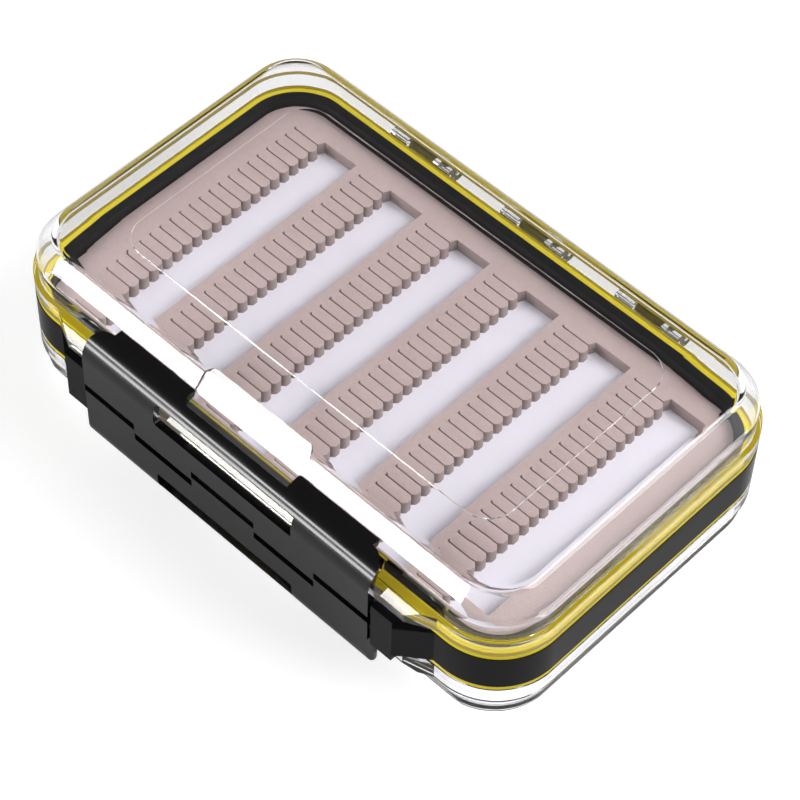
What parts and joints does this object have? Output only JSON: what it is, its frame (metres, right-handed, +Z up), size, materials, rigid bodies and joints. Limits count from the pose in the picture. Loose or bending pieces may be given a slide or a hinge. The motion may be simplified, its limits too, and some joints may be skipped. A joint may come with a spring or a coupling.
{
  "type": "fly box",
  "caption": "Flat two-sided case for fishing flies, with slit foam on both sides of a middle frame, a clear hinged lid over each side and a latch for each lid.",
  "frame": {"origin": "middle of the box's footprint, on the face that it rests on", "axes": "+X along the box, +Z up through both lids, -Y towards the latches"},
  "size_m": [0.1504, 0.1028, 0.0466],
  "materials": {
    "black_frame_plastic": "moulded, semi-gloss",
    "black_latch_plastic": "moulded, fine satin",
    "clear_lid_plastic": "clear moulded, polished",
    "yellow_seal_rubber": "soft moulded, satin",
    "taupe_foam": "die-cut closed-cell foam",
    "white_backing_foam": "thin smooth sheet",
    "adhesive_tape": "double-sided film",
    "steel_pin": "drawn wire"
  },
  "bodies": {
    "center_frame": {"center_frame": "black_frame_plastic", "upper_gasket": "yellow_seal_rubber", "lower_gasket": "yellow_seal_rubber", "upper_slit_foam": "taupe_foam", "lower_slit_foam": "taupe_foam", "upper_foam_backing": "white_backing_foam", "lower_foam_backing": "white_backing_foam", "upper_foam_tape": "adhesive_tape", "lower_foam_tape": "adhesive_tape", "upper_hinge_pin_left": "steel_pin", "upper_hinge_pin_center": "steel_pin", "upper_hinge_pin_right": "steel_pin", "upper_latch_pin_left": "steel_pin", "upper_latch_pin_right": "steel_pin", "lower_hinge_pin_left": "steel_pin", "lower_hinge_pin_center": "steel_pin", "lower_hinge_pin_right": "steel_pin", "lower_latch_pin_left": "steel_pin", "lower_latch_pin_right": "steel_pin"},
    "upper_lid": {"upper_lid": "clear_lid_plastic"},
    "lower_lid": {"lower_lid": "clear_lid_plastic"},
    "upper_latch": {"upper_latch": "black_latch_plastic"},
    "lower_latch": {"lower_latch": "black_latch_plastic"}
  },
  "joints": [
    {"name": "upper_lid_hinge", "type": "hinge", "parent": "center_frame", "child": "upper_lid", "pos_m": [0, 0.0488, 0.0285], "axis": [-1, 0, 0], "range_deg": [0, 115]},
    {"name": "lower_lid_hinge", "type": "hinge", "parent": "center_frame", "child": "lower_lid", "pos_m": [0, 0.0488, 0.0181], "axis": [1, 0, 0], "range_deg": [0, 115]},
    {"name": "upper_latch_hinge", "type": "hinge", "parent": "center_frame", "child": "upper_latch", "pos_m": [0, -0.0496, 0.0261], "axis": [1, 0, 0], "range_deg": [0, 80]},
    {"name": "lower_latch_hinge", "type": "hinge", "parent": "center_frame", "child": "lower_latch", "pos_m": [0, -0.0496, 0.0205], "axis": [-1, 0, 0], "range_deg": [0, 80]}
  ]
}
